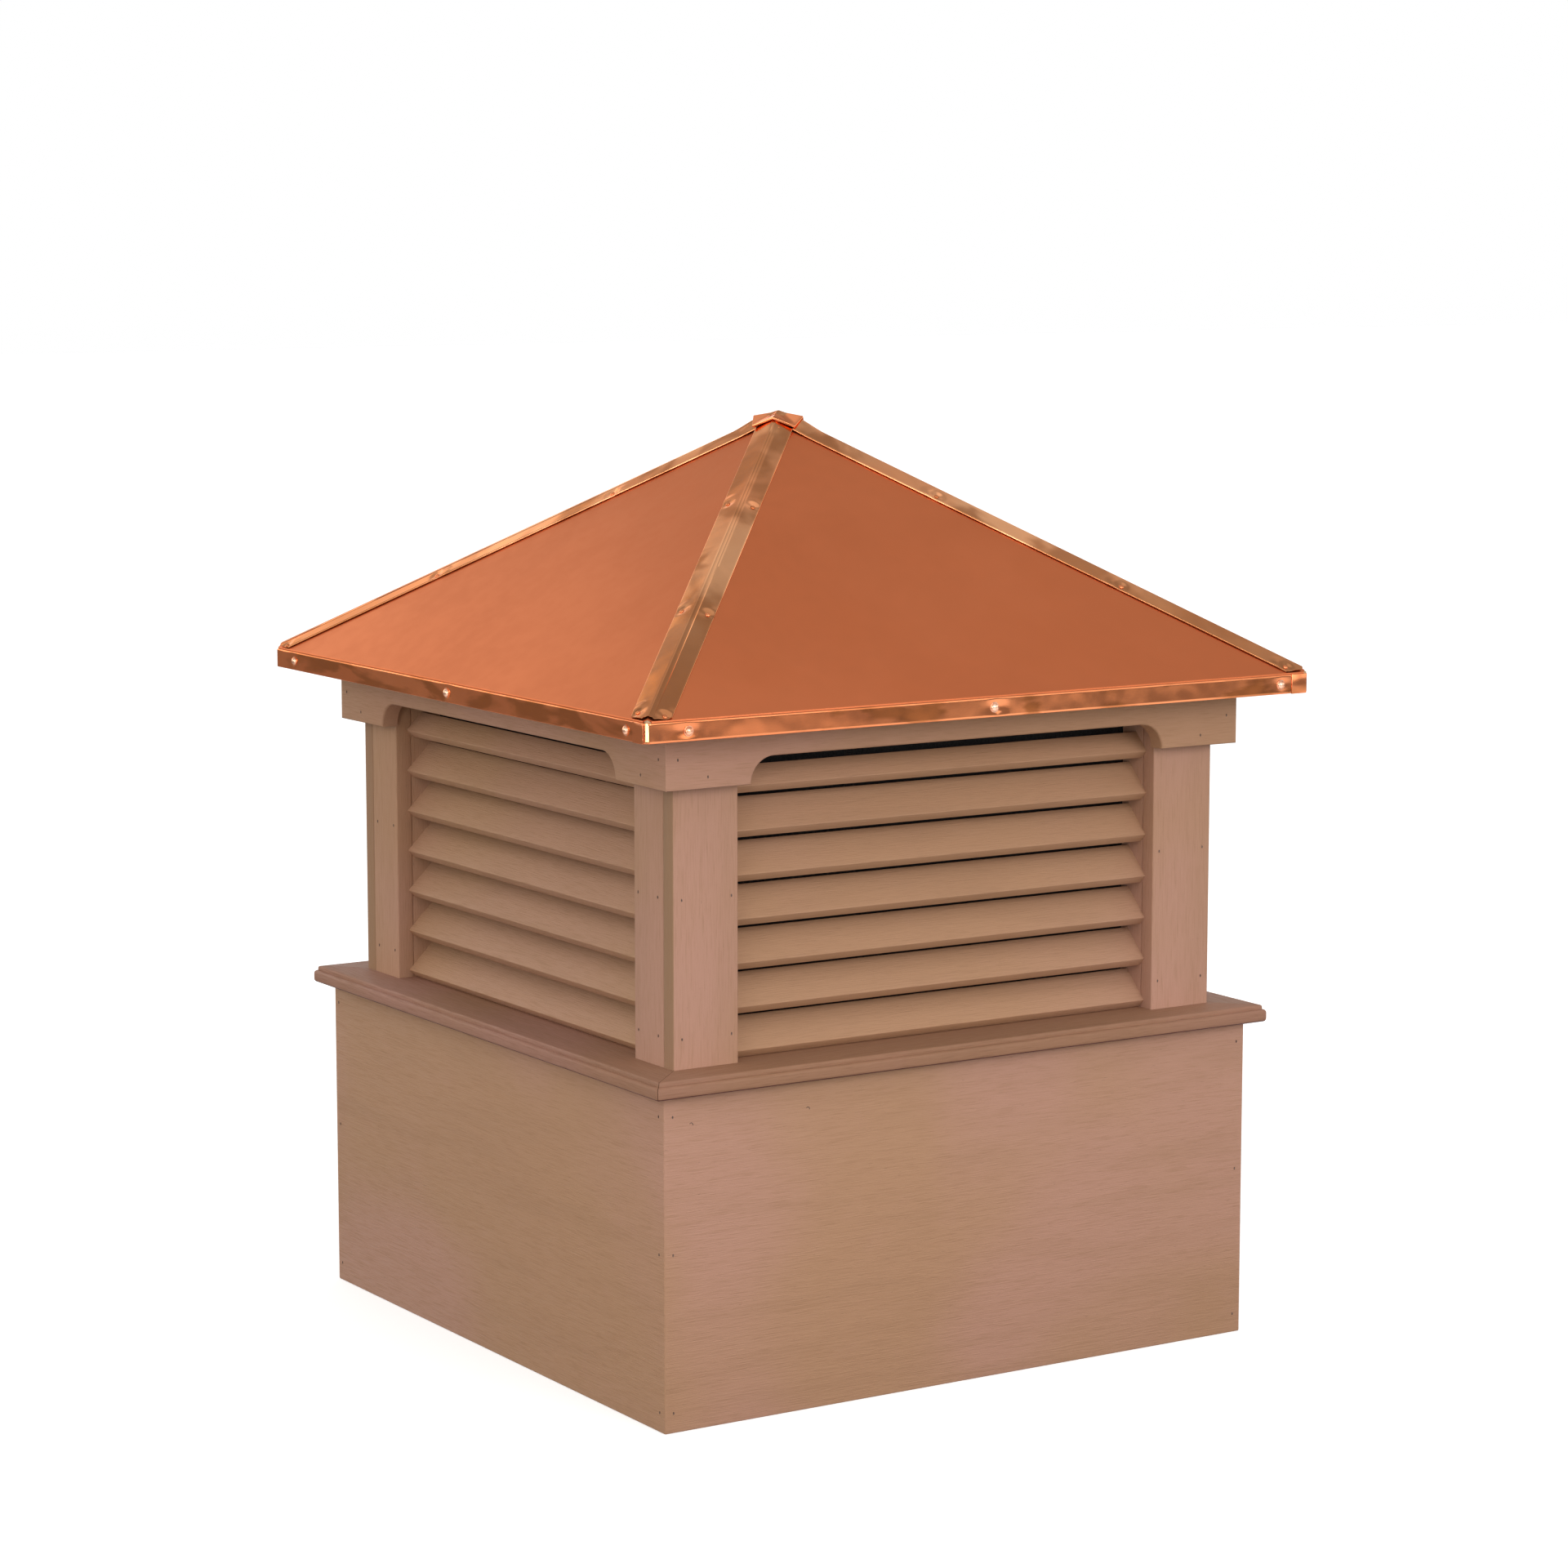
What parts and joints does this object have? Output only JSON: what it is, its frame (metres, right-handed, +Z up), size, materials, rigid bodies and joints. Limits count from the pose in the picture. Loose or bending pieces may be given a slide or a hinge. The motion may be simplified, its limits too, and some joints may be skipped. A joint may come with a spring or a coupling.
{
  "type": "louvred roof cupola",
  "caption": "Square louvred roof cupola: boarded base, moulded sill, fixed slats between corner boards, bracketed frieze and a hipped copper roof with hip caps.",
  "frame": {"origin": "centre of the square base, on the level it rests on", "axes": "+Z up, front louvre faces -Y, +X to the right seen from the front"},
  "size_m": [0.855, 0.855, 1.0406],
  "materials": {
    "board": "tan solid stain over fine grain, satin",
    "slat": "tan solid stain over fine grain, satin",
    "frame_wood": "tan stain, in shade behind the boards",
    "plywood": "bare plywood",
    "copper_sheet": "new copper sheet, satin",
    "copper_trim": "new copper trim, bright and lightly mottled"
  },
  "bodies": {
    "root": {"base_front": "board", "base_right": "board", "base_back": "board", "base_left": "board", "sill_front": "board", "sill_right": "board", "sill_back": "board", "sill_left": "board", "corner_boards_front": "board", "corner_boards_right": "board", "corner_boards_back": "board", "corner_boards_left": "board", "stiles_front": "frame_wood", "stiles_right": "frame_wood", "stiles_back": "frame_wood", "stiles_left": "frame_wood", "slats_front": "slat", "slats_right": "slat", "slats_back": "slat", "slats_left": "slat", "head_rail_front": "frame_wood", "head_rail_right": "frame_wood", "head_rail_back": "frame_wood", "head_rail_left": "frame_wood", "frieze_front": "board", "frieze_right": "board", "frieze_back": "board", "frieze_left": "board", "roof_plate": "plywood", "deck_front": "plywood", "deck_right": "plywood", "deck_back": "plywood", "deck_left": "plywood", "sheet_front": "copper_sheet", "sheet_right": "copper_sheet", "sheet_back": "copper_sheet", "sheet_left": "copper_sheet", "eave_band_front": "copper_trim", "eave_band_right": "copper_trim", "eave_band_back": "copper_trim", "eave_band_left": "copper_trim", "hip_cap_front_right": "copper_trim", "hip_cap_back_right": "copper_trim", "hip_cap_back_left": "copper_trim", "hip_cap_front_left": "copper_trim", "peak_cap": "copper_trim"}
  },
  "joints": []
}
